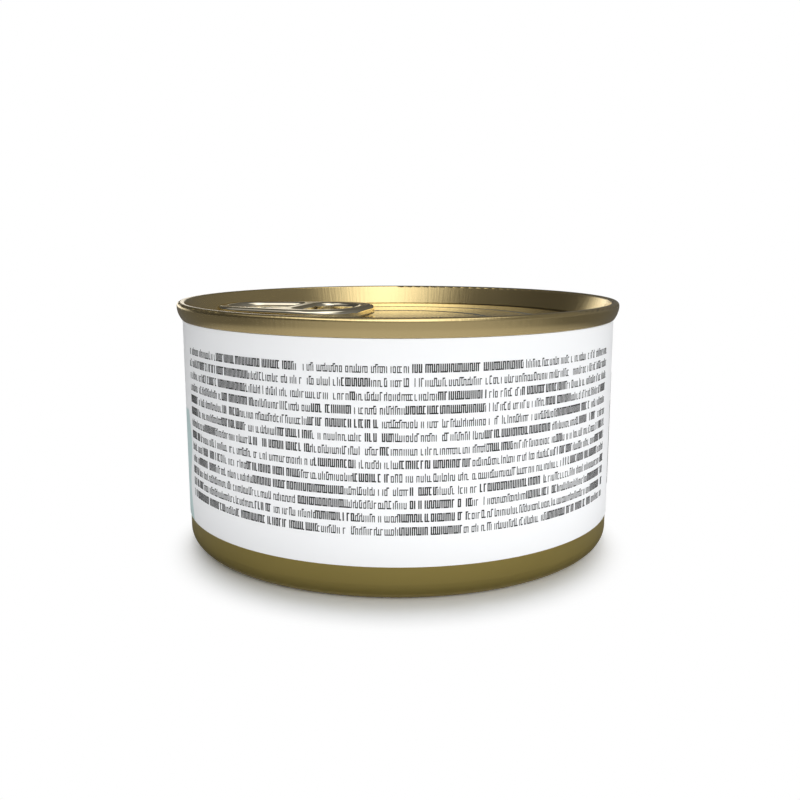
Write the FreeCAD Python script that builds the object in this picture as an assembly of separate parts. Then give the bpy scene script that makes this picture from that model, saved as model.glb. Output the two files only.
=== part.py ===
"""Round easy-open food can, shut and full, with a paper label and a pull ring on its lid.

Millimetres. +Z is up, the origin is the centre of the base on the ground, and the ring's nose
lies towards -X. Four pieces: the drawn can with its contents, the wrapped label, the seamed lid
with its rivet, and the ring that the rivet holds.
"""
import FreeCAD
import Part
import math
import os

# Can body
CAN_HEIGHT = 37.3          # ground to the crest of the seam
BODY_DIAMETER = 66.42      # outside of the drawn wall
BASE_CORNER_RADIUS = 2.5
STAND_WIDTH = 1.8          # flat ring that the can stands on
STAND_SHOULDER = 0.9       # radial run of the slope inside the stand ring
STAND_ROUND = 0.6
BASE_RECESS = 1.3          # height of the base panel above the ground
BASE_STEP_INSETS = (6.5, 13.5)   # from the stand's inner edge to each step of the base panel
BASE_STEP_HEIGHT = 0.4
BASE_STEP_RUN = 0.6
BASE_STEP_ROUND = 0.4

# Label
LABEL_THICKNESS = 0.13
LABEL_BOTTOM = 4.97        # bare metal shows below this height
LABEL_TOP_GAP = 0.08       # between the label's upper edge and the seam
LAP_WIDTH = 7.0            # where the label's end is glued over its start
LAP_AZIMUTH = 12.0         # degrees from +X, on the side away from the ring's nose

# Double seam
SEAM_HEIGHT = 2.55
SEAM_THICKNESS = 1.25
SEAM_OVERHANG = 0.94       # how far the seam stands out from the body wall at its widest
SEAM_LIP = 0.28            # how far its lower edge stands out
SEAM_BULGE_HEIGHT = 1.1    # where its upright face starts to curve in to that edge
SEAM_BULGE_ROUND = 3.2
SEAM_TUCK = 0.3            # how far the body wall reaches up inside it
CREST_OUTER_ROUND = 0.6    # from the crest down to the seam's outer face
CREST_INNER_ROUND = 0.45   # from the crest down to the lid's inner wall

# Lid
SHEET = 0.25
CHUCK_WALL_LEAN = 20.0     # degrees from upright
PANEL_DEPTH = 3.2          # crest of the seam down to the panel
COUNTERSINK_DEPTH = 0.9    # panel down to the floor of the groove round it
COUNTERSINK_WIDTH = 0.7
PANEL_BEND = 0.4
SCORE_INSET = 0.75         # panel's wall to the tear line
SCORE_WIDTH = 0.16
SCORE_DEPTH = 0.08
BEAD_INSETS = (7.69, 16.19)      # panel's wall to the middle of each coined groove
BEAD_WIDTH = 1.2
BEAD_DEPTH = 0.14
BEAD_ROUND = 0.7

# Rivet, pressed up from the lid's own metal
RIVET_FROM_NOSE = 6.3      # ring's nose to the rivet's axis
RIVET_SHANK_RADIUS = 1.5
RIVET_HEAD_RADIUS = 2.3
RIVET_HEAD_HEIGHT = 0.45
RIVET_HEAD_ROUND = 0.2
RIVET_DIMPLE_RADIUS = 1.1
RIVET_DIMPLE_DEPTH = 0.25
RIVET_BOSS_RADIUS = 2.9
RIVET_HOLE_CLEARANCE = 0.05

# Pull ring, measured along its own axis from nose to heel
RING_AZIMUTH = 164.5       # degrees from +X to the nose
RING_LENGTH = 25.0
RING_WIDTH = 18.8
RING_HEIGHT = 1.55
RING_GAP = 0.2             # panel to the ring's underside
RING_NOSE_WIDTH = 12.0     # across the nose corners before they are rounded
RING_NOSE_ROUND = 5.8
RING_HEEL_WIDTH = 17.6     # across the heel corners before they are rounded
RING_HEEL_ROUND = 8.6
RING_WIDE_FROM_NOSE = 16.0 # start of the parallel stretch
RING_WIDE_LENGTH = 2.0
RING_WIDE_ROUND = 40.0
RING_RIM = 2.2             # width of the curled edge
RING_EDGE_ROUND = 0.65     # rolled upper side of the curled edge
RING_UNDER_ROUND = 0.45
RING_WEB_EDGE_ROUND = 0.7  # where the curled edge drops to the plate
RING_WEB_THICKNESS = 0.55  # plate inside the curled edge at the nose
RING_WEB_LENGTH = 10.0     # nose rim to the crossbar
RING_WEB_CORNER = 1.6
RING_WEB_ROUND = 0.25
RING_BAR_WIDTH = 2.4       # crossbar between the plate and the finger hole
RING_HOLE_CORNER = 2.4
SLIT_RADIUS = 3.5          # C-shaped slit that frees the rivet's tongue
SLIT_WIDTH = 0.45
SLIT_ANGLE = 230.0         # degrees, open towards the nose

# Derived sizes
BODY_RADIUS = BODY_DIAMETER / 2
SEAM_RADIUS = BODY_RADIUS + SEAM_OVERHANG
SEAM_BOTTOM = CAN_HEIGHT - SEAM_HEIGHT
CHUCK_WALL_TOP = CAN_HEIGHT - CREST_INNER_ROUND
PANEL_Z = CAN_HEIGHT - PANEL_DEPTH
GROOVE_Z = PANEL_Z - COUNTERSINK_DEPTH
LEAN = math.tan(math.radians(CHUCK_WALL_LEAN))
WALL_SHEET = SHEET / math.cos(math.radians(CHUCK_WALL_LEAN))   # sheet measured across a leaning wall


def chuck_wall_radius(z):
    """Radius of the lid's leaning inner wall at height z."""
    return SEAM_RADIUS - SEAM_THICKNESS - (CHUCK_WALL_TOP - z) * LEAN


PANEL_RADIUS = chuck_wall_radius(GROOVE_Z) - COUNTERSINK_WIDTH
SCORE_RADIUS = PANEL_RADIUS - SCORE_INSET
RING_NOSE = SCORE_RADIUS              # the nose tip presses on the tear line
RING_HEEL = RING_NOSE - RING_LENGTH
RING_BOTTOM = PANEL_Z + RING_GAP
RING_TOP = RING_BOTTOM + RING_HEIGHT
RING_WEB_TOP = RING_BOTTOM + RING_WEB_THICKNESS
RIVET_X = RING_NOSE - RIVET_FROM_NOSE


def upright(x, y):
    """Point of a profile: x is the radius and y the height."""
    return FreeCAD.Vector(x, 0, y)


def flat(x, y):
    """Point of a plan outline on the ground plane."""
    return FreeCAD.Vector(x, y, 0)


def rounded_wire(corners, place):
    """Closed wire through corners (x, y, radius); a radius gives way where its straights are too short."""
    points = [place(x, y) for x, y, radius in corners]
    count = len(points)
    lengths = [points[i].distanceToPoint(points[(i + 1) % count]) for i in range(count)]
    back = [(points[i - 1] - points[i]).normalize() for i in range(count)]
    ahead = [(points[(i + 1) % count] - points[i]).normalize() for i in range(count)]
    half = [back[i].getAngle(ahead[i]) / 2 for i in range(count)]
    reach = [corners[i][2] / math.tan(half[i]) for i in range(count)]
    room = [min(1.0, lengths[i] / max(reach[i] + reach[(i + 1) % count], 1e-9)) for i in range(count)]
    edges = []
    ends = []
    for i in range(count):
        share = min(room[i - 1], room[i])
        run = reach[i] * share
        radius = corners[i][2] * share
        ends.append((points[i] + back[i] * run, points[i] + ahead[i] * run))
        if radius > 0:
            bisector = (back[i] + ahead[i]).normalize()
            middle = points[i] + bisector * (radius / math.sin(half[i]) - radius)
            edges.append(Part.Arc(ends[i][0], middle, ends[i][1]).toShape())
    for i in range(count):
        start = ends[i][1]
        end = ends[(i + 1) % count][0]
        if start.distanceToPoint(end) > 1e-6:
            edges.append(Part.LineSegment(start, end).toShape())
    return Part.Wire(Part.__sortEdges__(edges))


def turned(corners):
    """Solid of revolution about Z from a profile of (radius, height, corner radius)."""
    face = Part.Face(rounded_wire(corners, upright))
    return face.revolve(FreeCAD.Vector(0, 0, 0), FreeCAD.Vector(0, 0, 1), 360)


def plate(corners, bottom, top):
    """Flat slab with a rounded outline between two heights."""
    slab = Part.Face(rounded_wire(corners, flat)).extrude(FreeCAD.Vector(0, 0, top - bottom))
    slab.translate(FreeCAD.Vector(0, 0, bottom))
    return slab


def rounded_edges(solid, outline, heights, radius):
    """Round the edges that lie at the given heights inside an outline's own box."""
    box = Part.Face(rounded_wire(outline, flat)).BoundBox
    chosen = []
    for edge in solid.Edges:
        span = edge.BoundBox
        level = any(abs(span.ZMin - z) < 1e-4 and abs(span.ZMax - z) < 1e-4 for z in heights)
        across = span.YMin > box.YMin - 1e-3 and span.YMax < box.YMax + 1e-3
        along = span.XMin > box.XMin - 1e-3 and span.XMax < box.XMax + 1e-3
        if level and across and along:
            chosen.append(edge)
    return solid.makeFillet(radius, chosen)


def lid_underside():
    """Corners of the lid's lower face from its centre out to the seam's lip; the body meets this face."""
    wall = chuck_wall_radius(GROOVE_Z - SHEET) + WALL_SHEET
    tuck_z = SEAM_BOTTOM + SEAM_TUCK
    return [
        (0, PANEL_Z - SHEET, 0),
        (PANEL_RADIUS - SHEET, PANEL_Z - SHEET, max(PANEL_BEND - SHEET, 0.05)),
        (PANEL_RADIUS - SHEET, GROOVE_Z - SHEET, COUNTERSINK_WIDTH / 2 + SHEET),
        (wall, GROOVE_Z - SHEET, COUNTERSINK_WIDTH / 2 + SHEET),
        (chuck_wall_radius(tuck_z) + WALL_SHEET, tuck_z, 0),
        (BODY_RADIUS, tuck_z, 0),
    ]


def bead(radius):
    """Corners of one shallow groove coined in the panel, from its outer side to its inner side."""
    slope = BEAD_WIDTH / 3
    return [
        (radius + BEAD_WIDTH / 2, PANEL_Z, BEAD_ROUND),
        (radius + BEAD_WIDTH / 2 - slope, PANEL_Z - BEAD_DEPTH, BEAD_ROUND),
        (radius - BEAD_WIDTH / 2 + slope, PANEL_Z - BEAD_DEPTH, BEAD_ROUND),
        (radius - BEAD_WIDTH / 2, PANEL_Z, BEAD_ROUND),
    ]


def lid_upper_side():
    """Corners of the lid's outer face from the seam's lip over the crest and in to the panel's centre."""
    corners = [
        (BODY_RADIUS, SEAM_BOTTOM, SEAM_LIP / 2),
        (BODY_RADIUS + SEAM_LIP, SEAM_BOTTOM, SEAM_LIP / 2),
        (SEAM_RADIUS, SEAM_BOTTOM + SEAM_BULGE_HEIGHT, SEAM_BULGE_ROUND),
        (SEAM_RADIUS, CAN_HEIGHT, CREST_OUTER_ROUND),
        (chuck_wall_radius(CAN_HEIGHT), CAN_HEIGHT, CREST_INNER_ROUND),
        (chuck_wall_radius(GROOVE_Z), GROOVE_Z, COUNTERSINK_WIDTH / 2),
        (PANEL_RADIUS, GROOVE_Z, COUNTERSINK_WIDTH / 2),
        (PANEL_RADIUS, PANEL_Z, PANEL_BEND),
        (SCORE_RADIUS + SCORE_WIDTH / 2, PANEL_Z, 0),
        (SCORE_RADIUS, PANEL_Z - SCORE_DEPTH, 0),
        (SCORE_RADIUS - SCORE_WIDTH / 2, PANEL_Z, 0),
    ]
    for inset in BEAD_INSETS:
        corners += bead(PANEL_RADIUS - inset)
    corners.append((0, PANEL_Z, 0))
    return corners


def rivet():
    """Boss under the ring, shank through it and dimpled head over it, on the Z axis."""
    head_top = RING_WEB_TOP + RIVET_HEAD_HEIGHT
    dimple_z = head_top - RIVET_DIMPLE_DEPTH
    return turned([
        (0, PANEL_Z - BEAD_DEPTH - (SHEET - BEAD_DEPTH) / 2, 0),
        (RIVET_BOSS_RADIUS, PANEL_Z - BEAD_DEPTH - (SHEET - BEAD_DEPTH) / 2, 0),
        (RIVET_BOSS_RADIUS, RING_BOTTOM, 0),
        (RIVET_SHANK_RADIUS, RING_BOTTOM, 0),
        (RIVET_SHANK_RADIUS, RING_WEB_TOP, 0),
        (RIVET_HEAD_RADIUS, RING_WEB_TOP, 0),
        (RIVET_HEAD_RADIUS, head_top, RIVET_HEAD_ROUND),
        (RIVET_DIMPLE_RADIUS, head_top, RIVET_HEAD_ROUND),
        (RIVET_DIMPLE_RADIUS, dimple_z, RIVET_HEAD_ROUND),
        (0, dimple_z, 0),
    ])


def turned_to_ring(shape):
    """Turn a shape built along +X so that it points the way the ring's nose does."""
    shape.rotate(FreeCAD.Vector(0, 0, 0), FreeCAD.Vector(0, 0, 1), RING_AZIMUTH)
    return shape


def make_lid():
    """Seam, leaning wall, groove, tear panel with its beads, and the rivet, all one sheet."""
    sheet = turned(lid_underside() + lid_upper_side())
    stud = rivet()
    stud.translate(FreeCAD.Vector(RIVET_X, 0, 0))
    return sheet.fuse(turned_to_ring(stud)).removeSplitter()


def make_body():
    """Drawn can with its contents, solid up to the underside of the lid."""
    stand_outer = BODY_RADIUS - BASE_CORNER_RADIUS
    stand_inner = stand_outer - STAND_WIDTH
    panel_outer = stand_inner - STAND_SHOULDER
    corners = lid_underside() + [
        (BODY_RADIUS, 0, BASE_CORNER_RADIUS),
        (stand_inner, 0, STAND_ROUND),
        (panel_outer, BASE_RECESS, STAND_ROUND),
    ]
    height = BASE_RECESS
    for inset in BASE_STEP_INSETS:
        corners.append((panel_outer - inset, height, BASE_STEP_ROUND))
        height += BASE_STEP_HEIGHT
        corners.append((panel_outer - inset - BASE_STEP_RUN, height, BASE_STEP_ROUND))
    corners.append((0, height, 0))
    return turned(corners)


def make_label():
    """Paper sleeve round the body, with the glued lap of its two ends."""
    top = SEAM_BOTTOM - LABEL_TOP_GAP
    outer = BODY_RADIUS + LABEL_THICKNESS

    def sleeve(inner_radius, outer_radius):
        return [(inner_radius, LABEL_BOTTOM, 0), (outer_radius, LABEL_BOTTOM, 0),
                (outer_radius, top, 0), (inner_radius, top, 0)]

    lap = Part.Face(rounded_wire(sleeve(outer - LABEL_THICKNESS / 2, outer + LABEL_THICKNESS), upright))
    lap_angle = math.degrees(LAP_WIDTH / outer)
    lap = lap.revolve(FreeCAD.Vector(0, 0, 0), FreeCAD.Vector(0, 0, 1), lap_angle)
    lap.rotate(FreeCAD.Vector(0, 0, 0), FreeCAD.Vector(0, 0, 1), LAP_AZIMUTH - lap_angle / 2)
    return turned(sleeve(BODY_RADIUS, outer)).fuse(lap).removeSplitter()


def ring_half_width(x, inset):
    """Half the ring's width at x, in from its unrounded outline by an inset."""
    wide_front = RING_NOSE - RING_WIDE_FROM_NOSE
    wide_back = wide_front - RING_WIDE_LENGTH
    if x > wide_front:
        share = (x - wide_front) / (RING_NOSE - wide_front)
        width = RING_WIDTH + (RING_NOSE_WIDTH - RING_WIDTH) * share
    elif x < wide_back:
        share = (wide_back - x) / (wide_back - RING_HEEL)
        width = RING_WIDTH + (RING_HEEL_WIDTH - RING_WIDTH) * share
    else:
        width = RING_WIDTH
    return width / 2 - inset


def mirrored(stations, inset):
    """Closed outline from stations (x, corner radius) on one side, repeated on the other."""
    near = [(x, -ring_half_width(x, inset), radius) for x, radius in stations]
    far = [(x, ring_half_width(x, inset), radius) for x, radius in reversed(stations)]
    return near + far


def rolled(solid, outline):
    """Round the upper and lower edges of the ring's curl along an outline."""
    solid = rounded_edges(solid, outline, (RING_TOP,), RING_EDGE_ROUND)
    return rounded_edges(solid, outline, (RING_BOTTOM,), RING_UNDER_ROUND)


def slit():
    """C-shaped cut round the rivet, open towards the nose."""
    half = SLIT_WIDTH / 2
    low = RING_BOTTOM - RING_GAP / 2
    high = RING_WEB_TOP + RING_GAP / 2
    section = [(SLIT_RADIUS - half, low, 0), (SLIT_RADIUS + half, low, 0),
               (SLIT_RADIUS + half, high, 0), (SLIT_RADIUS - half, high, 0)]
    face = Part.Face(rounded_wire(section, upright))
    cutter = face.revolve(FreeCAD.Vector(0, 0, 0), FreeCAD.Vector(0, 0, 1), SLIT_ANGLE)
    cutter.rotate(FreeCAD.Vector(0, 0, 0), FreeCAD.Vector(0, 0, 1), 180 - SLIT_ANGLE / 2)
    return cutter


def make_ring():
    """Pull ring: curled edge, dished plate at the nose, crossbar and finger hole."""
    wide_front = RING_NOSE - RING_WIDE_FROM_NOSE
    wide_back = wide_front - RING_WIDE_LENGTH
    web_back = RING_NOSE - RING_RIM - RING_WEB_LENGTH
    hole_front = web_back - RING_BAR_WIDTH
    outline = mirrored([(RING_HEEL, RING_HEEL_ROUND), (wide_back, RING_WIDE_ROUND),
                        (wide_front, RING_WIDE_ROUND), (RING_NOSE, RING_NOSE_ROUND)], 0)
    web = mirrored([(web_back, RING_WEB_CORNER),
                    (RING_NOSE - RING_RIM, RING_NOSE_ROUND - RING_RIM)], RING_RIM)
    hole = mirrored([(RING_HEEL + RING_RIM, RING_HEEL_ROUND - RING_RIM),
                     (hole_front, RING_HOLE_CORNER)], RING_RIM)

    ring = plate(outline, RING_BOTTOM, RING_TOP)
    ring = rolled(ring, outline)
    ring = rolled(ring.cut(plate(hole, RING_BOTTOM - RING_GAP / 2, RING_TOP + RING_GAP)), hole)
    ring = ring.cut(plate(web, RING_WEB_TOP, RING_TOP + RING_GAP))
    ring = rounded_edges(ring, web, (RING_TOP,), RING_WEB_EDGE_ROUND)
    ring = rounded_edges(ring, web, (RING_WEB_TOP,), RING_WEB_ROUND)

    rivet_hole = Part.makeCylinder(RIVET_SHANK_RADIUS + RIVET_HOLE_CLEARANCE, RING_HEIGHT + RING_GAP,
                                   FreeCAD.Vector(0, 0, RING_BOTTOM - RING_GAP / 2))
    for cutter in (rivet_hole, slit()):
        cutter.translate(FreeCAD.Vector(RIVET_X, 0, 0))
        ring = ring.cut(cutter)
    return turned_to_ring(ring)


def main():
    os.makedirs("parts", exist_ok=True)
    pieces = {
        "can_body": make_body(),
        "paper_label": make_label(),
        "lid": make_lid(),
        "pull_ring": make_ring(),
    }
    for name, shape in pieces.items():
        solid = shape.Solids[0]
        solid.exportStep(f"parts/{name}.step")
        box = solid.BoundBox
        print(f"{name}: solids {len(shape.Solids)} valid {solid.isValid()} volume {solid.Volume:.1f} "
              f"x {box.XMin:.2f} {box.XMax:.2f} y {box.YMin:.2f} {box.YMax:.2f} z {box.ZMin:.2f} {box.ZMax:.2f}")


main()
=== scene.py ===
"""Finish, printed label and studio stage for a round easy-open food can."""
import math

import bpy
from bpy.props import FloatProperty, FloatVectorProperty, IntProperty, PointerProperty
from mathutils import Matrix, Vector


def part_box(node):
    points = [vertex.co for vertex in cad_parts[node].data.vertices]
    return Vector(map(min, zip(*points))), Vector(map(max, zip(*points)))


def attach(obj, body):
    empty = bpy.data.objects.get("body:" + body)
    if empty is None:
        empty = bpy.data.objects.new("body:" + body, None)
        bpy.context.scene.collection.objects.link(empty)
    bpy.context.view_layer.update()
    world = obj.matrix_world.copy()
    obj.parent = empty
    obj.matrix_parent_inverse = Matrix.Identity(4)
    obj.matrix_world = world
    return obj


bl_info = {
    "name": "Food Can Maker",
    "version": (1, 0, 0),
    "blender": (4, 5, 0),
    "location": "3D View > Sidebar > Food Can",
    "description": "Finishes a round easy-open food can and sets it on a studio stage",
    "category": "Object",
}

MM = 0.001
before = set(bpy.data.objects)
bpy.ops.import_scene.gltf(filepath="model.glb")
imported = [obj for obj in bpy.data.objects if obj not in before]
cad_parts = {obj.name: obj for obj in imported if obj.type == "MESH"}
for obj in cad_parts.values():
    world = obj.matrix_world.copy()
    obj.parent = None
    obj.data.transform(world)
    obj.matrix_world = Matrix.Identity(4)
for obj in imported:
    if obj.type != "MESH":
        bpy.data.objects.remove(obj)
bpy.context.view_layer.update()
BODY = "root"

# Sizes read from the frame, in metres
BODY_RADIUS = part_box("can_body")[1].x
CAN_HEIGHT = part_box("lid")[1].z
LABEL_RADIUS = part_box("paper_label")[1].x

# Places and streaks on the lid, in metres
PANEL_RADIUS = 0.03086       # edge of the flat panel, where the groove begins
TEAR_RADIUS = 0.03012        # tear line in the panel
WALL_FOOT_RADIUS = 0.03193   # foot of the inner wall, beyond the groove
STREAK_DEPTH = 0.03 * MM
STREAK_STRENGTH = 0.6
PANEL_STREAKS = 0.25         # depth of the panel's streaks as a share of the walls'

# Places on the label's front panel: turns in degrees from the small print's middle, heights in metres
FRONT_PANEL_TURN = 194.0     # its middle
FIELD_SIDES = ((93.5, 94.5), (293.3, 291.9))    # each side of the field: where it starts and where it is full
BAND_SIDES = ((107.0, 107.5), (276.5, 276.0))   # the same for the foot band
SIDE_SWAY = 1.6              # how far the field's upright sides sway
SWAY_LENGTH = 0.014          # height of one sway
SWAY_PHASE = 4.49            # radians
WAVES_ROUND = 6              # waves of the upper edge in a whole turn
FIELD_BLUR = 0.6 * MM        # height of the field's soft upper edge
BAND_BLUR = 0.1 * MM         # the same for the foot band
OVAL_Z = 0.0205              # middle of the plain oval
OVAL_LINE = 0.6 * MM         # width of the line round it
LONG_BAR = ((0, 2 * MM, 0), 8 * MM, 1.1 * MM)        # middle from the oval's, half its width and height
SHORT_BAR = ((0, -1.6 * MM, 0), 5.5 * MM, 0.6 * MM)

# Look of the small print
GAP_SHARE = 0.17             # share of stroke pairs left out, as gaps between words
TALL_SHARE = 0.22            # share of light strokes as tall as a bold one
DASH_SHARE = 0.38            # share of strokes joined to the next at the foot, and at the head
BOLD_RUN = (0.011, 0.0009)   # size of a bold patch along a row and across the rows, in metres
BOLD_ABOVE = 0.53            # noise level above which a stroke is bold
BOLD_WIDTH = 1.55            # width of a bold stroke against a light one
LIGHT_HEIGHT = 0.76          # height of a light stroke against a bold one

# Block of upright bars past the right end of the small print, in metres
BARS_TURN = 81.0             # its middle, in degrees from the small print's middle
BARS_WIDTH = 0.0075
BARS_MIDDLE_Z = 0.018
BARS_HEIGHT = 0.017
BARS_PITCH = 0.00033

# Stage: lengths in metres, levels as shares of white
FLOOR_SIDE = 6.0
TABLE_SIDE = 2.0
TABLE_HEIGHT = 0.001         # reflections see the table just above the floor
TENT_RADIUS = 1.5
FLOOR_TINT = 0.85            # colour of the floor
FLOOR_TINT_SEEN = 1.3        # the same as the camera sees it, so that only the shadow shows
FLOOR_GLOW = 0.85            # light that the floor throws on the can
GLOW_INNER = (0.033, 0.048)  # radii where that light starts and where it is full
GLOW_OUTER = (0.16, 0.06)    # the same from outside
SHADOW_FORWARD = 0.006       # how far in front of the can the shadow's middle lies
SHADOW_FADE = (0.028, 0.0365)    # distances from that middle where the floor starts to pale and is white
TABLE_DARK = 0.11            # reflected table behind the can
TABLE_FAR = 0.4              # reflected table far in front of it
TABLE_NEAR = 0.27            # added close to the can, to half of the far level
TABLE_NEAR_EDGE = (0.1, 0.052)       # radii where that starts and where it is full
TABLE_CONTACT = 0.15         # share of light left where the can meets the table
TABLE_CONTACT_EDGE = (0.031, 0.044)  # radii between which the light comes back
WALLS_LEFT = 0.05            # reflected studio walls
WALLS_RIGHT = 0.16
FILL_TOP = 0.44              # strongest light from all round, at the front right


def linear(colour):
    """Linear RGBA of an sRGB hex colour."""
    channels = [int(colour[i:i + 2], 16) / 255 for i in (1, 3, 5)]
    return tuple(c / 12.92 if c <= 0.04045 else ((c + 0.055) / 1.055) ** 2.4 for c in channels) + (1.0,)


def add(tree, kind, inputs=None, **settings):
    """Add a node; an input takes a value, a socket, or a node whose first output feeds it."""
    made = tree.nodes.new(kind)
    for name, value in settings.items():
        setattr(made, name, value)
    for key, value in (inputs or {}).items():
        if isinstance(value, bpy.types.Node):
            value = value.outputs[0]
        if isinstance(value, bpy.types.NodeSocket):
            tree.links.new(value, made.inputs[key])
        else:
            made.inputs[key].default_value = value
    return made


def colour_property(name, description, colour):
    """A colour a user can change, given as an sRGB hex default."""
    return FloatVectorProperty(name=name, description=description, subtype="COLOR", size=4,
                               min=0.0, max=1.0, default=linear(colour))


def length_property(name, description, millimetres, low=0.0):
    """A length a user can change, given in millimetres and kept in metres."""
    return FloatProperty(name=name, description=description, unit="LENGTH", precision=5,
                         default=millimetres * MM, min=low)


class CanMetalSettings(bpy.types.PropertyGroup):
    """Lacquers of the can, its lid and its ring"""
    can_colour: colour_property("Can lacquer", "Matt gold lacquer on the drawn can", "#9E8C4C")
    can_roughness: FloatProperty(name="Can roughness", description="Roughness of the can's lacquer",
                                 default=0.42, min=0.0, max=1.0)
    lid_colour: colour_property("Lid lacquer", "Clear gold lacquer on the lid's sheet", "#F3DA9E")
    # Painted light: the panel is paler than the walls, so that its reflections look broadly lit
    panel_lacquer_and_light: colour_property("Panel lacquer and light", "Lacquer on the flat tear panel, paler as painted light", "#F6EBC6")
    panel_roughness: FloatProperty(name="Panel roughness", description="Roughness of the flat tear panel",
                                   default=0.2, min=0.0, max=1.0)
    # Painted shade: a darker colour from the tear line over the groove to the foot of the wall
    groove_shade_colour: colour_property("Groove shade", "Painted shade from the tear line over the groove to the wall's foot",
                                   "#A8905A")
    lid_roughness: FloatProperty(name="Lid roughness", description="Roughness of the lid's lacquer",
                                 default=0.2, min=0.0, max=1.0)
    ring_colour: colour_property("Ring lacquer", "Pale gold lacquer on the pull ring", "#F6ECD2")
    ring_roughness: FloatProperty(name="Ring roughness", description="Roughness of the ring's lacquer",
                                  default=0.1, min=0.0, max=1.0)
    grain_width: length_property("Grain width", "Spacing of the streaks that rolling and drawing leave", 0.45)
    grain_length: length_property("Grain length", "Length of those streaks", 6.0)


class CanLabelSettings(bpy.types.PropertyGroup):
    """Paper and colour fields of the label"""
    paper_colour: colour_property("Paper", "White coated paper", "#F7F7F8")
    field_colour: colour_property("Field", "Pale teal field of the front panel", "#C6DCDB")
    deep_colour: colour_property("Deep field", "Darker teal of the foot band and the bars", "#4F8C92")
    field_top: length_property("Field top", "Height of the field's upper edge", 23.0)
    field_wave: length_property("Field wave", "How far that edge waves up and down", 1.2)
    band_top: length_property("Band top", "Height of the darker band's upper edge", 9.5)
    oval_width: length_property("Oval width", "Width of the plain oval on the front panel", 27.0)
    oval_height: length_property("Oval height", "Height of that oval", 14.0)


class CanPrintSettings(bpy.types.PropertyGroup):
    """Rows of plain strokes where the small print goes"""
    ink_colour: colour_property("Ink", "Dark grey printing ink", "#2E2E2D")
    rows: IntProperty(name="Rows", description="Number of rows", default=13, min=1)
    first_row: length_property("First row", "Height of the top row's middle", 30.95)
    row_pitch: length_property("Row pitch", "Distance between rows", 1.76)
    stroke_height: length_property("Stroke height", "Height of a tall stroke", 1.12)
    stroke_pitch: length_property("Stroke pitch", "Distance between strokes along a row", 0.27)
    stroke_width: length_property("Stroke width", "Width of a light stroke", 0.11)
    row_length: length_property("Row length", "Length of a row round the can", 74.5)
    ink_thickness: length_property("Ink thickness", "How far the ink stands proud of the paper", 0.012)
    seed: IntProperty(name="Seed", description="Fixes the random run of strokes", default=7)


class CanStageSettings(bpy.types.PropertyGroup):
    """Camera of the stage"""
    lens: FloatProperty(name="Lens", description="Focal length on a 36 mm sensor", subtype="DISTANCE_CAMERA",
                        default=42.02)
    camera_side: length_property("Camera side", "Camera to the right of the can's axis", 0.3)
    camera_distance: length_property("Camera distance", "Camera in front of the can's axis", 148.2)
    camera_height: length_property("Camera height", "Camera above the floor", 47.92)
    camera_pitch: FloatProperty(name="Camera pitch", description="How far the camera looks down",
                                subtype="ANGLE", default=math.radians(10.327))


def new_material(name):
    """An empty material with its output node."""
    material = bpy.data.materials.new(name)
    material.use_nodes = True
    material.node_tree.nodes.clear()
    return material, material.node_tree, add(material.node_tree, "ShaderNodeOutputMaterial")


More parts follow.
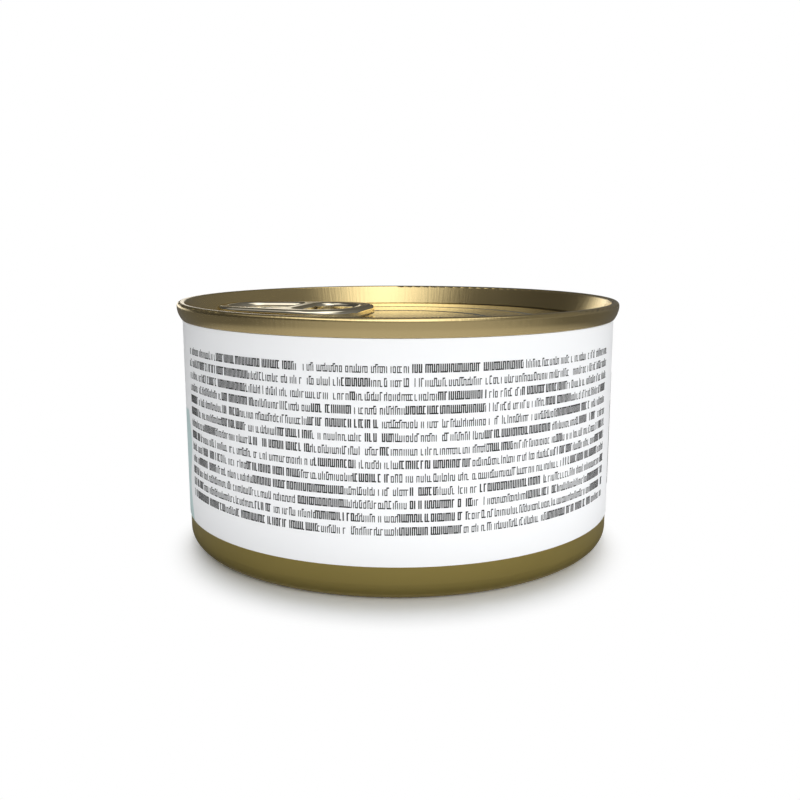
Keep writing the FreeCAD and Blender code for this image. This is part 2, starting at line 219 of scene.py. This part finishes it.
def lid_lacquer(settings):
    """Tinplate under clear gold lacquer, rolled and drawn.

    It is a soft mirror with fine streaks: strong and upright on the walls, faint along Y on the panel.
    The streaks are drawn coarser than the real grain, which is too fine to show.
    From the tear line over the groove to the foot of the wall the colour is darker: painted shade in the
    groove.
    """
    material, tree, output = new_material("gold_lacquered_tinplate_rolled")
    place = add(tree, "ShaderNodeTexCoord").outputs["Object"]
    axes = add(tree, "ShaderNodeSeparateXYZ", {0: place})
    turn = add(tree, "ShaderNodeMath", {0: axes.outputs["Y"], 1: axes.outputs["X"]}, operation="ARCTAN2")
    round_run = add(tree, "ShaderNodeMath", {0: turn, 1: BODY_RADIUS}, operation="MULTIPLY")
    flat_place = add(tree, "ShaderNodeCombineXYZ", {0: axes.outputs["X"], 1: axes.outputs["Y"]})
    radius = add(tree, "ShaderNodeVectorMath", {0: flat_place}, operation="LENGTH").outputs["Value"]
    on_wall = add(tree, "ShaderNodeMath", {0: radius, 1: PANEL_RADIUS}, operation="GREATER_THAN")
    across = add(tree, "ShaderNodeMix", {0: on_wall, 2: axes.outputs["X"], 3: round_run}, data_type="FLOAT")
    along = add(tree, "ShaderNodeMix", {0: on_wall, 2: axes.outputs["Y"], 3: axes.outputs["Z"]},
                data_type="FLOAT")
    run = add(tree, "ShaderNodeCombineXYZ", {0: across, 1: along})
    scaled = add(tree, "ShaderNodeMapping",
                 {0: run, 3: (1 / settings.grain_width, 1 / settings.grain_length, 1.0)})
    grain = add(tree, "ShaderNodeTexNoise", {0: scaled, "Scale": 1.0, "Detail": 3.0, "Roughness": 0.6},
                noise_dimensions="2D")
    depth = add(tree, "ShaderNodeMapRange", {0: on_wall, 3: PANEL_STREAKS, 4: 1.0})
    grain = add(tree, "ShaderNodeMath", {0: grain, 1: depth}, operation="MULTIPLY")
    bump = add(tree, "ShaderNodeBump",
               {"Height": grain, "Strength": STREAK_STRENGTH, "Distance": STREAK_DEPTH})

    # Painted light: the panel's paler colour stands in for the broad lamp light that the flat panel reflects
    sheet = add(tree, "ShaderNodeMix", {0: on_wall, 6: settings.panel_lacquer_and_light, 7: settings.lid_colour},
                data_type="RGBA")
    # Painted shade: darker colour from the tear line over the groove to the foot of the wall
    middle = (WALL_FOOT_RADIUS + TEAR_RADIUS) / 2
    half_width = (WALL_FOOT_RADIUS - TEAR_RADIUS) / 2
    shaded = add(tree, "ShaderNodeMath", {0: radius, 1: middle, 2: half_width}, operation="COMPARE")
    colour = add(tree, "ShaderNodeMix", {0: shaded, 6: sheet.outputs[2], 7: settings.groove_shade_colour},
                 data_type="RGBA")
    rough = add(tree, "ShaderNodeMix", {0: on_wall, 2: settings.panel_roughness, 3: settings.lid_roughness},
                data_type="FLOAT")
    shader = add(tree, "ShaderNodeBsdfPrincipled", {
        "Base Color": colour.outputs[2], "Metallic": 1.0, "Roughness": rough, "Normal": bump})
    tree.links.new(shader.outputs[0], output.inputs[0])
    return material


def ring_lacquer(settings):
    """Stamped aluminium under pale gold lacquer: smoother than the lid, and gold even at a grazing angle."""
    material, tree, output = new_material("gold_lacquered_aluminium_stamped")
    shader = add(tree, "ShaderNodeBsdfPrincipled", {
        "Base Color": settings.ring_colour, "Specular Tint": settings.ring_colour, "Metallic": 1.0,
        "Roughness": settings.ring_roughness})
    tree.links.new(shader.outputs[0], output.inputs[0])
    return material


def can_lacquer(settings):
    """Drawn tinplate under pigmented gold lacquer: half metal, half paint, and dull."""
    material, tree, output = new_material("gold_enamelled_tinplate_drawn")
    shader = add(tree, "ShaderNodeBsdfPrincipled", {
        "Base Color": settings.can_colour, "Metallic": 0.6, "Roughness": settings.can_roughness})
    tree.links.new(shader.outputs[0], output.inputs[0])
    return material


def label_paper(settings):
    """Coated white paper printed with flat fields of colour: matt, with a slight sheen.

    Turn runs round the can in degrees, from 0 at the small print's middle towards +X. The front panel,
    with its teal field, foot band, plain oval and two bars, lies round the back.
    """
    material, tree, output = new_material("coated_paper_offset_printed")
    axes = add(tree, "ShaderNodeSeparateXYZ", {0: add(tree, "ShaderNodeTexCoord").outputs["Object"]})
    front = add(tree, "ShaderNodeMath", {0: axes.outputs["Y"], 1: -1.0}, operation="MULTIPLY")
    turn = add(tree, "ShaderNodeMath", {0: axes.outputs["X"], 1: front}, operation="ARCTAN2")
    turn = add(tree, "ShaderNodeMath", {0: turn, 1: math.tau}, operation="FLOORED_MODULO")
    turn = add(tree, "ShaderNodeMath", {0: turn}, operation="DEGREES")
    height = axes.outputs["Z"]

    # Both edges of the field wave gently
    sway = add(tree, "ShaderNodeMath", {0: height, 1: math.tau / SWAY_LENGTH}, operation="MULTIPLY")
    sway = add(tree, "ShaderNodeMath", {0: sway, 1: -SWAY_PHASE})
    sway = add(tree, "ShaderNodeMath", {0: sway}, operation="COSINE")
    side = add(tree, "ShaderNodeMath", {0: sway, 1: SIDE_SWAY, 2: turn}, operation="MULTIPLY_ADD")
    wave = add(tree, "ShaderNodeMath", {0: turn, 1: math.radians(WAVES_ROUND)}, operation="MULTIPLY")
    wave = add(tree, "ShaderNodeMath", {0: wave}, operation="SINE")
    rise = add(tree, "ShaderNodeMath", {0: wave, 1: -settings.field_wave, 2: height},
               operation="MULTIPLY_ADD")
    across = add(tree, "ShaderNodeMath", {0: turn, 1: -FRONT_PANEL_TURN})
    across = add(tree, "ShaderNodeMath", {0: across, 1: math.radians(1) * BODY_RADIUS}, operation="MULTIPLY")
    up = add(tree, "ShaderNodeMath", {0: height, 1: -OVAL_Z})
    place = add(tree, "ShaderNodeCombineXYZ", {0: across, 1: up})

    def oval(margin):
        width = settings.oval_width / 2 + margin
        tall = settings.oval_height / 2 + margin
        scaled = add(tree, "ShaderNodeVectorMath", {0: place, 1: (1 / width, 1 / tall, 0)},
                     operation="MULTIPLY")
        return add(tree, "ShaderNodeVectorMath", {0: scaled}, operation="LENGTH").outputs["Value"]

    def bar(centre, half_width, half_height):
        apart = add(tree, "ShaderNodeVectorMath", {0: place, 1: centre}, operation="SUBTRACT")
        apart = add(tree, "ShaderNodeVectorMath", {0: apart}, operation="ABSOLUTE")
        apart = add(tree, "ShaderNodeVectorMath", {0: apart, 1: (1 / half_width, 1 / half_height, 0)},
                    operation="MULTIPLY")
        sides = add(tree, "ShaderNodeSeparateXYZ", {0: apart})
        return add(tree, "ShaderNodeMath", {0: sides.outputs["X"], 1: sides.outputs["Y"]},
                   operation="MAXIMUM")

    # From the paper up: a colour, and the edges inside which it is printed
    deep, paper = settings.deep_colour, settings.paper_colour
    field_top, band_top = settings.field_top, settings.band_top
    field_sides = [(side, *edge) for edge in FIELD_SIDES]
    band_sides = [(side, *edge) for edge in BAND_SIDES]
    layers = (
        (settings.field_colour, (*field_sides, (rise, field_top, field_top - FIELD_BLUR))),
        (deep, (*band_sides, (rise, band_top, band_top - BAND_BLUR))),
        (deep, ((oval(OVAL_LINE), 1.0, 0.99),)),
        (paper, ((oval(0), 1.0, 0.99),)),
        (deep, ((bar(*LONG_BAR), 1.0, 0.97),)),
        (deep, ((bar(*SHORT_BAR), 1.0, 0.95),)),
    )
    colour = paper
    for tint, edges in layers:
        cover = 1.0
        for value, outside, inside in edges:
            step = add(tree, "ShaderNodeMapRange", {0: value, 1: outside, 2: inside},
                       interpolation_type="SMOOTHSTEP")
            cover = add(tree, "ShaderNodeMath", {0: step, 1: cover}, operation="MULTIPLY")
        colour = add(tree, "ShaderNodeMix", {0: cover, 6: colour, 7: tint}, data_type="RGBA").outputs[2]
    shader = add(tree, "ShaderNodeBsdfPrincipled", {"Base Color": colour, "Roughness": 0.5, "IOR": 1.4})
    tree.links.new(shader.outputs[0], output.inputs[0])
    return material


def printing_ink(settings):
    """Dark offset ink on coated paper: matt and flat."""
    material, tree, output = new_material("offset_ink_dark_grey")
    shader = add(tree, "ShaderNodeBsdfPrincipled", {
        "Base Color": settings.ink_colour, "Roughness": 0.55, "IOR": 1.4})
    tree.links.new(shader.outputs[0], output.inputs[0])
    return material


def dress(node, material):
    """Give a CAD node its finish."""
    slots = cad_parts[node].material_slots
    for slot in slots:
        slot.material = material


class CAN_OT_finish_body(bpy.types.Operator):
    """Finish the drawn can"""
    bl_idname = "food_can.finish_body"
    bl_label = "Finish can"

    def execute(self, context):
        dress("can_body", can_lacquer(context.scene.can_metal))
        return {"FINISHED"}


class CAN_OT_finish_lid(bpy.types.Operator):
    """Finish the seamed lid"""
    bl_idname = "food_can.finish_lid"
    bl_label = "Finish lid"

    def execute(self, context):
        dress("lid", lid_lacquer(context.scene.can_metal))
        return {"FINISHED"}


class CAN_OT_finish_ring(bpy.types.Operator):
    """Finish the pull ring"""
    bl_idname = "food_can.finish_ring"
    bl_label = "Finish ring"

    def execute(self, context):
        dress("pull_ring", ring_lacquer(context.scene.can_metal))
        return {"FINISHED"}


class CAN_OT_finish_label(bpy.types.Operator):
    """Finish the paper label"""
    bl_idname = "food_can.finish_label"
    bl_label = "Finish label"

    def execute(self, context):
        dress("paper_label", label_paper(context.scene.can_label))
        return {"FINISHED"}


def print_tree():
    """Geometry Nodes that lay rows of upright strokes round the can, gapped like words.

    Short dashes join some strokes at foot or head. Runs of wide, tall strokes alternate with light ones.
    """
    tree = bpy.data.node_groups.new("print_rows", "GeometryNodeTree")
    lengths = ("Radius", "Row Length", "First Row", "Row Pitch", "Stroke Height", "Stroke Pitch",
               "Stroke Width", "Ink Thickness")
    kinds = dict.fromkeys(lengths, "NodeSocketFloat")
    kinds.update({"Turn": "NodeSocketFloat", "Dash Share": "NodeSocketFloat", "Rows": "NodeSocketInt",
                  "Seed": "NodeSocketInt", "Ink": "NodeSocketMaterial"})
    for name, kind in kinds.items():
        tree.interface.new_socket(name, in_out="INPUT", socket_type=kind)
    tree.interface.new_socket("Geometry", in_out="OUTPUT", socket_type="NodeSocketGeometry")
    given = add(tree, "NodeGroupInput").outputs

    # A flat grid of stroke places, laid out along X with the rows along Y
    count = add(tree, "ShaderNodeMath", {0: given["Row Length"], 1: given["Stroke Pitch"]},
                operation="DIVIDE")
    gaps = add(tree, "ShaderNodeMath", {0: given["Rows"], 1: -1.0})
    tall = add(tree, "ShaderNodeMath", {0: gaps, 1: given["Row Pitch"]}, operation="MULTIPLY")
    grid = add(tree, "GeometryNodeMeshGrid", {"Size X": given["Row Length"], "Size Y": tall,
                                              "Vertices X": count, "Vertices Y": given["Rows"]})
    pair = add(tree, "ShaderNodeMath", {0: add(tree, "GeometryNodeInputIndex"), 1: 0.5}, operation="MULTIPLY")
    pair = add(tree, "ShaderNodeMath", {0: pair}, operation="FLOOR")
    gap = add(tree, "FunctionNodeRandomValue", {"Probability": GAP_SHARE, "ID": pair, "Seed": given["Seed"]},
              data_type="BOOLEAN")
    places = add(tree, "GeometryNodeDeleteGeometry", {"Geometry": grid, "Selection": gap.outputs[3]})

    # Patches of bold strokes; some light ones are as tall
    stretch = add(tree, "ShaderNodeVectorMath",
                  {0: add(tree, "GeometryNodeInputPosition"), 1: (1 / BOLD_RUN[0], 1 / BOLD_RUN[1], 1.0)},
                  operation="MULTIPLY")
    run = add(tree, "ShaderNodeTexNoise", {"Vector": stretch, "Scale": 1.0, "Detail": 0.0},
              noise_dimensions="2D")
    bold = add(tree, "ShaderNodeMath", {0: run, 1: BOLD_ABOVE}, operation="GREATER_THAN")
    risen = add(tree, "FunctionNodeRandomValue", {"Probability": TALL_SHARE, "Seed": 3}, data_type="BOOLEAN")
    high = add(tree, "ShaderNodeMath", {0: bold, 1: risen.outputs[3]}, operation="MAXIMUM")
    height = add(tree, "ShaderNodeMapRange", {0: high, 3: LIGHT_HEIGHT, 4: 1.0})
    height = add(tree, "ShaderNodeMath", {0: height, 1: given["Stroke Height"]}, operation="MULTIPLY")
    width = add(tree, "ShaderNodeMapRange", {0: bold, 3: 1.0, 4: BOLD_WIDTH})
    width = add(tree, "ShaderNodeMath", {0: width, 1: given["Stroke Width"]}, operation="MULTIPLY")

    # Each kind of mark is a block in shares of a cell: its left end, right end, foot and head
    strokes = add(tree, "GeometryNodeJoinGeometry")
    marks = ((1.0, width, (-0.5, 0.5, 0.0, 1.0)),
             (given["Dash Share"], given["Stroke Pitch"], (0.0, 1.0, 0.0, 0.15)),
             (given["Dash Share"], given["Stroke Pitch"], (0.0, 1.0, 0.85, 1.0)))
    for number, (share, across, (left, right, foot, head)) in enumerate(marks):
        block = add(tree, "GeometryNodeMeshCube", {"Size": (right - left, head - foot, 1.0)})
        block = add(tree, "GeometryNodeTransform",
                    {"Geometry": block, "Translation": ((left + right) / 2, (foot + head) / 2, 0.5)})
        chosen = add(tree, "FunctionNodeRandomValue", {"Probability": share, "Seed": number},
                     data_type="BOOLEAN")
        size = add(tree, "ShaderNodeCombineXYZ", {0: across, 1: height, 2: given["Ink Thickness"]})
        laid = add(tree, "GeometryNodeInstanceOnPoints",
                   {"Points": places, "Selection": chosen.outputs[3], "Instance": block, "Scale": size})
        tree.links.new(laid.outputs[0], strokes.inputs[0])
    solid = add(tree, "GeometryNodeRealizeInstances", {0: strokes})

    # Wrap the sheet round the can
    flat = add(tree, "ShaderNodeSeparateXYZ", {0: add(tree, "GeometryNodeInputPosition")})
    angle = add(tree, "ShaderNodeMath", {0: flat.outputs["X"], 1: given["Radius"]}, operation="DIVIDE")
    angle = add(tree, "ShaderNodeMath", {0: angle, 1: given["Turn"]})
    out = add(tree, "ShaderNodeMath", {0: flat.outputs["Z"], 1: given["Radius"]})
    back = add(tree, "ShaderNodeMath", {0: out, 1: -1.0}, operation="MULTIPLY")
    sine = add(tree, "ShaderNodeMath", {0: angle}, operation="SINE")
    cosine = add(tree, "ShaderNodeMath", {0: angle}, operation="COSINE")
    sideways = add(tree, "ShaderNodeMath", {0: out, 1: sine}, operation="MULTIPLY")
    forwards = add(tree, "ShaderNodeMath", {0: back, 1: cosine}, operation="MULTIPLY")
    middle = add(tree, "ShaderNodeMath", {0: tall, 1: -0.5, 2: given["First Row"]}, operation="MULTIPLY_ADD")
    foot = add(tree, "ShaderNodeMath", {0: given["Stroke Height"], 1: -0.5, 2: middle},
               operation="MULTIPLY_ADD")
    upwards = add(tree, "ShaderNodeMath", {0: flat.outputs["Y"], 1: foot})
    wrapped = add(tree, "ShaderNodeCombineXYZ", {0: sideways, 1: forwards, 2: upwards})
    solid = add(tree, "GeometryNodeSetPosition", {"Geometry": solid, "Position": wrapped})
    inked = add(tree, "GeometryNodeSetMaterial", {"Geometry": solid, "Material": given["Ink"]})
    add(tree, "NodeGroupOutput", {0: inked})
    return tree


def printed(name, tree, values):
    """Rows of ink made by the print tree, as a plain mesh of its own."""
    piece = bpy.data.objects.new(name, bpy.data.meshes.new(name))
    bpy.context.scene.collection.objects.link(piece)
    modifier = piece.modifiers.new("print", "NODES")
    modifier.node_group = tree
    for item in tree.interface.items_tree:
        if item.in_out == "INPUT":
            modifier[item.identifier] = values[item.name]
    bpy.context.view_layer.update()
    mesh = bpy.data.meshes.new_from_object(piece.evaluated_get(bpy.context.evaluated_depsgraph_get()))
    piece.modifiers.clear()
    piece.data = mesh
    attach(piece, BODY)


class CAN_OT_print_rows(bpy.types.Operator):
    """Print the rows of plain strokes, and a block of upright bars past their right end"""
    bl_idname = "food_can.print_rows"
    bl_label = "Print rows"

    def execute(self, context):
        settings = context.scene.can_print
        tree = print_tree()
        rows = {
            "Radius": LABEL_RADIUS, "Row Length": settings.row_length, "First Row": settings.first_row,
            "Row Pitch": settings.row_pitch, "Stroke Height": settings.stroke_height,
            "Stroke Pitch": settings.stroke_pitch, "Stroke Width": settings.stroke_width,
            "Ink Thickness": settings.ink_thickness, "Turn": 0.0, "Dash Share": DASH_SHARE,
            "Rows": settings.rows, "Seed": settings.seed, "Ink": printing_ink(settings),
        }
        printed("small_print", tree, rows)
        bars = dict(rows, **{"Turn": math.radians(BARS_TURN), "Row Length": BARS_WIDTH, "Rows": 1,
                             "First Row": BARS_MIDDLE_Z, "Stroke Height": BARS_HEIGHT,
                             "Stroke Pitch": BARS_PITCH, "Dash Share": 0.0})
        printed("bar_block", tree, bars)
        return {"FINISHED"}


def stage_plane(name, side, height, material):
    """A level square of the stage, its middle under the object's."""
    bpy.ops.mesh.primitive_plane_add(size=1.0)
    card = bpy.context.object
    card.name = name
    card.scale = (side, side, 1.0)
    card.location.z = height
    card.data.materials.append(material)
    return card


def floor_material():
    """Pale studio floor that keeps the object's shadow.

    Seen by the camera it fades to white away from the can, soonest behind it. To other rays it glows in a
    ring round the can, as a lit floor does, and is dark where the can stands.
    """
    material, tree, output = new_material("studio_floor_white")
    path = add(tree, "ShaderNodeLightPath")
    camera = path.outputs["Is Camera Ray"]
    place = add(tree, "ShaderNodeNewGeometry").outputs["Position"]
    radius = add(tree, "ShaderNodeVectorMath", {0: place}, operation="LENGTH").outputs["Value"]
    shifted = add(tree, "ShaderNodeVectorMath", {0: place, 1: (0.0, SHADOW_FORWARD, 0.0)})
    reach = add(tree, "ShaderNodeVectorMath", {0: shifted}, operation="LENGTH").outputs["Value"]
    seen = add(tree, "ShaderNodeMix", {0: camera, 2: FLOOR_TINT, 3: FLOOR_TINT_SEEN}, data_type="FLOAT")
    tint = add(tree, "ShaderNodeCombineColor", {0: seen, 1: seen, 2: seen})
    paint = add(tree, "ShaderNodeBsdfDiffuse", {"Color": tint})
    near = add(tree, "ShaderNodeMapRange",
               {0: radius, 1: GLOW_OUTER[0], 2: GLOW_OUTER[1], 4: FLOOR_GLOW},
               interpolation_type="SMOOTHSTEP")
    clear = add(tree, "ShaderNodeMapRange", {0: radius, 1: GLOW_INNER[0], 2: GLOW_INNER[1]},
                interpolation_type="SMOOTHSTEP")
    near = add(tree, "ShaderNodeMath", {0: near, 1: clear}, operation="MULTIPLY")
    away = add(tree, "ShaderNodeMapRange", {0: reach, 1: SHADOW_FADE[0], 2: SHADOW_FADE[1]},
               interpolation_type="SMOOTHSTEP")
    strength = add(tree, "ShaderNodeMix", {0: camera, 2: near, 3: away}, data_type="FLOAT")
    covered = add(tree, "ShaderNodeMath", {0: camera, 1: away}, operation="MULTIPLY")
    glow = add(tree, "ShaderNodeEmission", {"Color": (1.0, 1.0, 1.0, 1.0), "Strength": strength})
    left = add(tree, "ShaderNodeMixShader", {0: covered, 1: paint})
    both = add(tree, "ShaderNodeAddShader", {0: left, 1: glow})
    tree.links.new(both.outputs[0], output.inputs[0])
    return material


def with_patch(tree, level, strength, *edges):
    """Add a soft patch of light to a level; each edge is (value, where dark, where full)."""
    for value, dark, full in edges:
        edge = add(tree, "ShaderNodeMapRange", {0: value, 1: dark, 2: full}, interpolation_type="SMOOTHSTEP")
        strength = add(tree, "ShaderNodeMath", {0: edge, 1: strength}, operation="MULTIPLY")
    return add(tree, "ShaderNodeMath", {0: level, 1: strength})


def tent_material():
    """Dark studio walls with patches of light, seen by reflections alone.

    Turn runs from the camera's side (0) to the right (positive), lift from the horizon up, in degrees.
    Both are read at the middle of the tent. X and front are the parts of the direction to the right and
    towards the camera.
    """
    material, tree, output = new_material("studio_tent")
    place = add(tree, "ShaderNodeTexCoord").outputs["Object"]
    way = add(tree, "ShaderNodeVectorMath", {0: place}, operation="NORMALIZE")
    axes = add(tree, "ShaderNodeSeparateXYZ", {0: way})
    right = axes.outputs["X"]
    front = add(tree, "ShaderNodeMath", {0: axes.outputs["Y"], 1: -1.0}, operation="MULTIPLY")
    turn = add(tree, "ShaderNodeMath", {0: right, 1: front}, operation="ARCTAN2")
    turn = add(tree, "ShaderNodeMath", {0: turn}, operation="DEGREES")
    lift = add(tree, "ShaderNodeMath", {0: axes.outputs["Z"]}, operation="ARCSINE")
    lift = add(tree, "ShaderNodeMath", {0: lift}, operation="DEGREES")
    behind = add(tree, "ShaderNodeMath", {0: turn}, operation="ABSOLUTE")

    # The front lamp's left edge leans: above 35 degrees it reaches further left the higher it is
    above = add(tree, "ShaderNodeMath", {0: lift, 1: -35.0})
    above = add(tree, "ShaderNodeMath", {0: above, 1: 0.0}, operation="MAXIMUM")
    leaning = add(tree, "ShaderNodeMath", {0: above, 1: 4.0, 2: turn}, operation="MULTIPLY_ADD")

    # Each patch: its strength, and its soft edges as (value, where dark, where full)
    level = add(tree, "ShaderNodeMapRange", {0: right, 1: -1.0, 2: 1.0, 3: WALLS_LEFT, 4: WALLS_RIGHT})
    # Pale horizon at the front
    level = with_patch(tree, level, 0.2, (behind, 95, 25), (lift, 22, 4))
    # Front lamp
    level = with_patch(tree, level, 1.8, (leaning, -46, 36), (turn, 66, 2), (lift, 14, 36), (lift, 70, 54))
    # Broad lamp overhead, to the right
    level = with_patch(tree, level, 1.15, (lift, 50, 68), (right, -0.45, 0.15), (front, -0.3, 0.05))
    # Low opening at the back left
    level = with_patch(tree, level, 1.2, (turn, -177, -170), (turn, -122, -150), (lift, 14, 7))
    # Faint patch high on the left
    level = with_patch(tree, level, 0.28, (turn, -130, -95), (turn, -50, -85), (lift, 30, 42), (lift, 60, 48))
    glow = add(tree, "ShaderNodeEmission", {"Color": (1.0, 1.0, 1.0, 1.0), "Strength": level})
    tree.links.new(glow.outputs[0], output.inputs[0])
    return material


def table_material():
    """Grey table that reflections see in place of the white floor.

    It is palest near the can and in front of it, darker behind, and dark where the can stands.
    """
    material, tree, output = new_material("studio_table_grey")
    place = add(tree, "ShaderNodeNewGeometry").outputs["Position"]
    radius = add(tree, "ShaderNodeVectorMath", {0: place}, operation="LENGTH").outputs["Value"]
    way = add(tree, "ShaderNodeVectorMath", {0: place}, operation="NORMALIZE")
    towards = add(tree, "ShaderNodeVectorMath", {0: way, 1: (0.1, -0.995, 0.0)}, operation="DOT_PRODUCT")
    far = add(tree, "ShaderNodeMapRange",
              {0: towards.outputs["Value"], 1: 0.15, 2: 1.12, 3: TABLE_DARK, 4: TABLE_FAR},
              interpolation_type="SMOOTHSTEP")
    near = add(tree, "ShaderNodeMapRange", {0: radius, 1: TABLE_NEAR_EDGE[0], 2: TABLE_NEAR_EDGE[1]},
               interpolation_type="SMOOTHSTEP")
    pale = add(tree, "ShaderNodeMath", {0: far, 1: 0.5, 2: TABLE_NEAR}, operation="MULTIPLY_ADD")
    level = add(tree, "ShaderNodeMix", {0: near, 2: far, 3: pale}, data_type="FLOAT")
    clear = add(tree, "ShaderNodeMapRange",
                {0: radius, 1: TABLE_CONTACT_EDGE[0], 2: TABLE_CONTACT_EDGE[1], 3: TABLE_CONTACT},
                interpolation_type="SMOOTHSTEP")
    level = add(tree, "ShaderNodeMath", {0: level, 1: clear}, operation="MULTIPLY")
    glow = add(tree, "ShaderNodeEmission", {"Color": (1.0, 1.0, 1.0, 1.0), "Strength": level})
    tree.links.new(glow.outputs[0], output.inputs[0])
    return material


class CAN_OT_build_stage(bpy.types.Operator):
    """Set the floor, light and camera"""
    bl_idname = "food_can.build_stage"
    bl_label = "Build stage"

    def execute(self, context):
        scene = context.scene
        settings = scene.can_stage
        scene.view_settings.view_transform = "Standard"
        self.make_camera(scene, settings)
        self.make_world(scene)
        stage_plane("floor", FLOOR_SIDE, 0.0, floor_material())
        self.make_tent()
        self.make_lamps()
        return {"FINISHED"}

    def make_camera(self, scene, settings):
        data = bpy.data.cameras.new("camera")
        data.lens = settings.lens
        data.sensor_width = 36.0
        data.clip_start = 0.01
        camera = bpy.data.objects.new("camera", data)
        camera.location = (settings.camera_side, -settings.camera_distance, settings.camera_height)
        camera.rotation_euler = (math.pi / 2 - settings.camera_pitch, 0, 0)
        scene.collection.objects.link(camera)
        scene.camera = camera

    def make_world(self, scene):
        world = bpy.data.worlds.new("studio")
        world.use_nodes = True
        tree = world.node_tree
        tree.nodes.clear()
        output = add(tree, "ShaderNodeOutputWorld")
        path = add(tree, "ShaderNodeLightPath")
        camera, glossy = path.outputs["Is Camera Ray"], path.outputs["Is Glossy Ray"]
        seen = add(tree, "ShaderNodeMath", {0: camera, 1: glossy}, operation="MAXIMUM")
        shown = add(tree, "ShaderNodeMath", {0: seen, 1: path.outputs["Is Transmission Ray"]},
                    operation="MAXIMUM")
        # Light on the object comes mostly from the front right
        way = add(tree, "ShaderNodeTexCoord").outputs["Generated"]
        towards = add(tree, "ShaderNodeVectorMath", {0: way, 1: (0.375, -0.927, 0.0)},
                      operation="DOT_PRODUCT")
        strength = add(tree, "ShaderNodeMapRange",
                       {0: towards.outputs["Value"], 1: -1.0, 2: 1.0, 3: 0.0, 4: FILL_TOP})
        fill = add(tree, "ShaderNodeBackground", {"Color": linear("#F8FDFF"), "Strength": strength})
        white = add(tree, "ShaderNodeBackground", {"Color": (1.0, 1.0, 1.0, 1.0), "Strength": 1.0})
        both = add(tree, "ShaderNodeMixShader", {0: shown, 1: fill, 2: white})
        tree.links.new(both.outputs[0], output.inputs[0])
        scene.world = world

    def make_tent(self):
        bpy.ops.mesh.primitive_uv_sphere_add(segments=64, ring_count=32, radius=TENT_RADIUS)
        tent = bpy.context.object
        tent.name = "tent"
        tent.location.z = CAN_HEIGHT
        tent.data.materials.append(tent_material())
        table = stage_plane("table", TABLE_SIDE, TABLE_HEIGHT, table_material())
        for item in (tent, table):
            item.active_material.cycles.emission_sampling = "NONE"
            item.visible_camera = False
            item.visible_diffuse = False
            item.visible_shadow = False
            item.visible_transmission = False

    def make_lamps(self):
        # Name, turn to the right and lift in degrees, distance in metres, width, height and power
        for name, turn, lift, distance, width, height, power in (
                ("softbox_front", 22, 20, 0.5, 0.5, 0.35, 1.0),
                ("softbox_overhead", 180, 72, 0.6, 0.22, 0.22, 2.25)):
            data = bpy.data.lights.new(name, "AREA")
            data.shape = "RECTANGLE"
            data.size, data.size_y = width, height
            data.energy = power
            lamp = bpy.data.objects.new(name, data)
            turn, lift = math.radians(turn), math.radians(lift)
            back = Vector((math.sin(turn) * math.cos(lift), -math.cos(turn) * math.cos(lift), math.sin(lift)))
            lamp.location = Vector((0, 0, CAN_HEIGHT / 2)) + back * distance
            lamp.rotation_mode = "QUATERNION"
            lamp.rotation_quaternion = back.to_track_quat("Z", "Y")
            # The tent gives the metal its reflections
            lamp.visible_glossy = False
            bpy.context.scene.collection.objects.link(lamp)


class CAN_PT_panel(bpy.types.Panel):
    """Steps that finish the can"""
    bl_idname = "CAN_PT_panel"
    bl_label = "Food can"
    bl_space_type = "VIEW_3D"
    bl_region_type = "UI"
    bl_category = "Food Can"

    def draw(self, context):
        for operator in OPERATORS:
            self.layout.operator(operator.bl_idname)


SETTINGS = {
    "can_metal": CanMetalSettings,
    "can_label": CanLabelSettings,
    "can_print": CanPrintSettings,
    "can_stage": CanStageSettings,
}
OPERATORS = (CAN_OT_finish_body, CAN_OT_finish_lid, CAN_OT_finish_ring, CAN_OT_finish_label,
             CAN_OT_print_rows, CAN_OT_build_stage)


def register():
    for name, group in SETTINGS.items():
        bpy.utils.register_class(group)
        setattr(bpy.types.Scene, name, PointerProperty(type=group))
    for operator in OPERATORS:
        bpy.utils.register_class(operator)
    bpy.utils.register_class(CAN_PT_panel)


def unregister():
    bpy.utils.unregister_class(CAN_PT_panel)
    for operator in reversed(OPERATORS):
        bpy.utils.unregister_class(operator)
    for name, group in reversed(list(SETTINGS.items())):
        delattr(bpy.types.Scene, name)
        bpy.utils.unregister_class(group)


def main():
    register()
    bpy.ops.food_can.finish_body()
    bpy.ops.food_can.finish_lid()
    bpy.ops.food_can.finish_ring()
    bpy.ops.food_can.finish_label()
    bpy.ops.food_can.print_rows()
    bpy.ops.food_can.build_stage()


if __name__ == "__main__":
    main()
